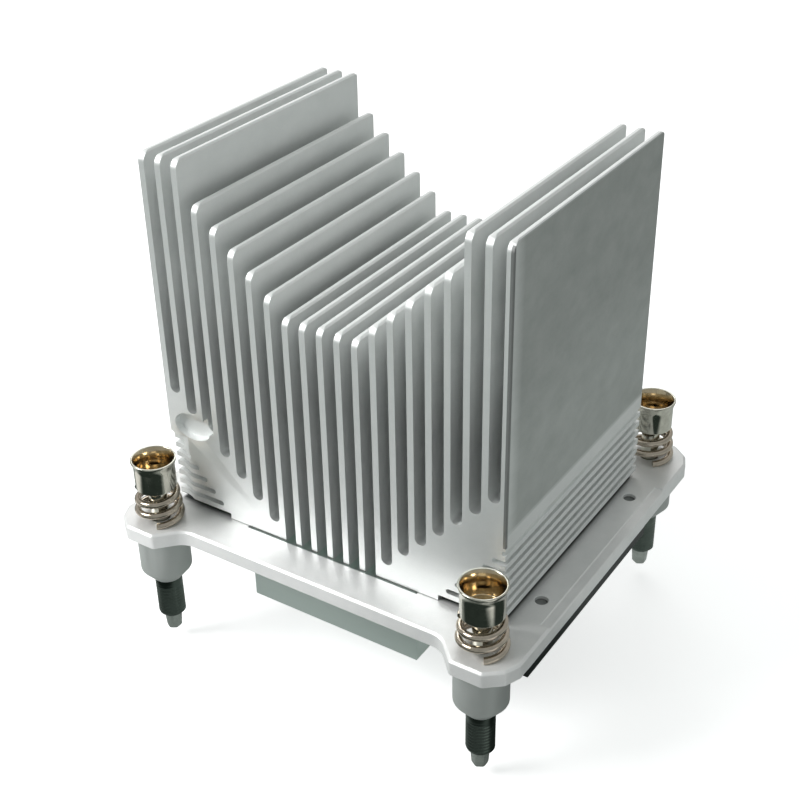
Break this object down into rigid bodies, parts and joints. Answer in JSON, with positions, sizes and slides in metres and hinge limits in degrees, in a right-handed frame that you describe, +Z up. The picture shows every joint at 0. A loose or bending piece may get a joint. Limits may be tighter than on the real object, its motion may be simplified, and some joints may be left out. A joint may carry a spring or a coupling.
{
  "type": "passive server CPU heatsink",
  "caption": "Tall passive server CPU heatsink: extruded aluminium fins with a valley on top, on a cast frame with sprung captive corner screws.",
  "frame": {"origin": "on the contact face under the extrusion, at the centre of the four captive screws", "axes": "+Z up away from the processor, +Y along the fins towards the back, +X across the fins towards the right"},
  "size_m": [0.0974, 0.0902, 0.111],
  "materials": {
    "aluminium": "bare extruded aluminium, faintly brushed along the fins",
    "cast_frame": "pale matt die casting",
    "nickel": "bright nickel plate, warm inside the cup",
    "dark_steel": "dark oiled steel with a brighter point",
    "screw_steel": "plain zinc"
  },
  "bodies": {
    "heatsink": {"heatsink_extrusion": "aluminium", "mounting_frame": "cast_frame", "frame_screw_left_front": "screw_steel", "frame_screw_right_front": "screw_steel", "frame_screw_left_back": "screw_steel", "frame_screw_right_back": "screw_steel"},
    "spring_fl": {"screw_spring_fl": "nickel"},
    "screw_fl": {"screw_cup_fl": "nickel", "screw_shaft_fl": "dark_steel"},
    "spring_fr": {"screw_spring_fr": "nickel"},
    "screw_fr": {"screw_cup_fr": "nickel", "screw_shaft_fr": "dark_steel"},
    "spring_bl": {"screw_spring_bl": "nickel"},
    "screw_bl": {"screw_cup_bl": "nickel", "screw_shaft_bl": "dark_steel"},
    "spring_br": {"screw_spring_br": "nickel"},
    "screw_br": {"screw_cup_br": "nickel", "screw_shaft_br": "dark_steel"}
  },
  "joints": [
    {"name": "screw_slide_fl", "type": "slide", "parent": "heatsink", "child": "spring_fl", "axis": [0, 0, -1], "range_m": [0, 0.0026], "stiffness_N_per_m": 8000, "springref_m": -0.0018, "deforming": ["screw_spring_fl"]},
    {"name": "screw_turn_fl", "type": "hinge", "parent": "spring_fl", "child": "screw_fl", "pos_m": [-0.04, -0.0383, 0], "axis": [0, 0, 1], "continuous": true},
    {"name": "screw_slide_fr", "type": "slide", "parent": "heatsink", "child": "spring_fr", "axis": [0, 0, -1], "range_m": [0, 0.0026], "stiffness_N_per_m": 8000, "springref_m": -0.0018, "deforming": ["screw_spring_fr"]},
    {"name": "screw_turn_fr", "type": "hinge", "parent": "spring_fr", "child": "screw_fr", "pos_m": [0.04, -0.0383, 0], "axis": [0, 0, 1], "continuous": true},
    {"name": "screw_slide_bl", "type": "slide", "parent": "heatsink", "child": "spring_bl", "axis": [0, 0, -1], "range_m": [0, 0.0026], "stiffness_N_per_m": 8000, "springref_m": -0.0018, "deforming": ["screw_spring_bl"]},
    {"name": "screw_turn_bl", "type": "hinge", "parent": "spring_bl", "child": "screw_bl", "pos_m": [-0.04, 0.0383, 0], "axis": [0, 0, 1], "continuous": true},
    {"name": "screw_slide_br", "type": "slide", "parent": "heatsink", "child": "spring_br", "axis": [0, 0, -1], "range_m": [0, 0.0026], "stiffness_N_per_m": 8000, "springref_m": -0.0018, "deforming": ["screw_spring_br"]},
    {"name": "screw_turn_br", "type": "hinge", "parent": "spring_br", "child": "screw_br", "pos_m": [0.04, 0.0383, 0], "axis": [0, 0, 1], "continuous": true}
  ]
}
